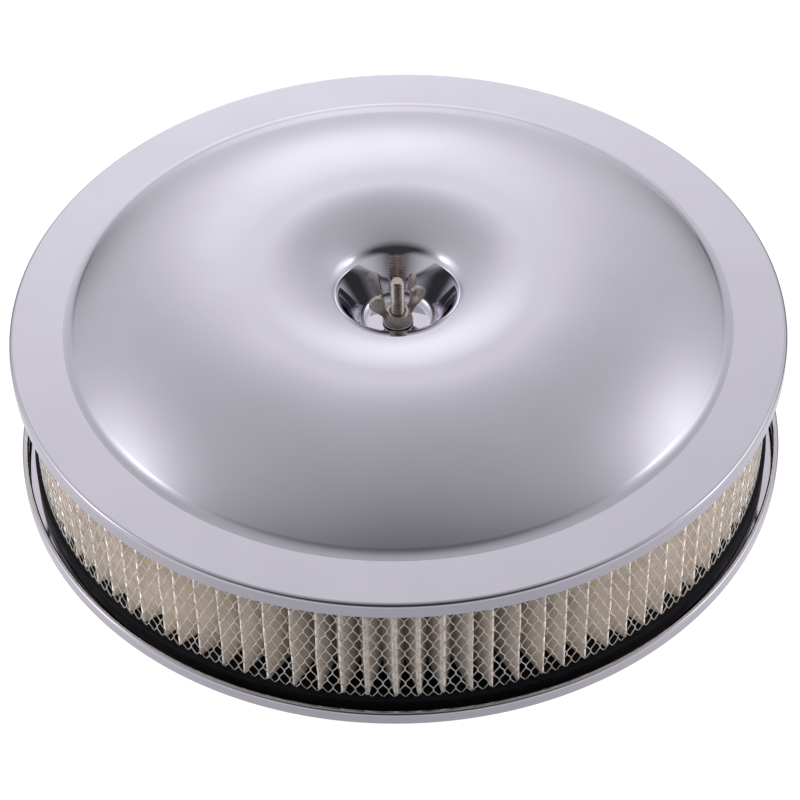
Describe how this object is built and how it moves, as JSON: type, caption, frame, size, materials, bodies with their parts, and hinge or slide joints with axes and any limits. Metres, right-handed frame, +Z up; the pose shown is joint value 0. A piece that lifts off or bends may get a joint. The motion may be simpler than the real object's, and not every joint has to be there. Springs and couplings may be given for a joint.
{
  "type": "air filter housing",
  "caption": "Round open-element air cleaner: dished metal lid and base pan clamp a pleated paper ring, held by a central stud and a wing nut.",
  "frame": {"origin": "centre of the plane that the base pan rests on, on the stud's axis", "axes": "+Z up along the stud, towards the wing nut; +Y towards the breather nipple and the paper's seam"},
  "size_m": [0.3592, 0.3592, 0.1003],
  "materials": {
    "chrome": "bright polished chrome plate",
    "nickel": "nickel plate",
    "zinc": "zinc plate",
    "screen": "bright expanded metal",
    "paper": "matt resin-treated filter paper",
    "seal": "smooth moulded",
    "gasket": "matt",
    "grommet": "matt"
  },
  "bodies": {
    "base": {"base_plate": "chrome", "neck_gasket": "gasket", "stud": "nickel", "stud_lock_nut": "zinc", "breather_grommet": "grommet", "breather_nipple": "zinc"},
    "element": {"bottom_seal": "seal", "outer_screen": "screen", "pleated_paper": "paper", "paper_seam_clip": "screen", "inner_screen": "screen", "top_seal": "seal"},
    "lid": {"lid": "chrome", "sealing_washer": "grommet"},
    "nut_washer": {"flat_washer": "zinc"},
    "wing_nut": {"wing_nut": "nickel"}
  },
  "joints": [
    {"name": "element_lift", "type": "slide", "parent": "base", "child": "element", "axis": [0, 0, 1], "range_m": [0, 0.105]},
    {"name": "lid_lift", "type": "slide", "parent": "element", "child": "lid", "axis": [0, 0, 1], "range_m": [0, 0.08]},
    {"name": "nut_travel", "type": "slide", "parent": "lid", "child": "nut_washer", "axis": [0, 0, 1], "range_m": [0, 0.0232]},
    {"name": "nut_spin", "type": "hinge", "parent": "nut_washer", "child": "wing_nut", "pos_m": [0, 0, 0.0744], "axis": [0, 0, 1], "range_deg": [0, 6570]}
  ],
  "couplings": [
    {"joint": "nut_travel", "follows": "nut_spin", "m_per_rad": 0.00020213}
  ]
}
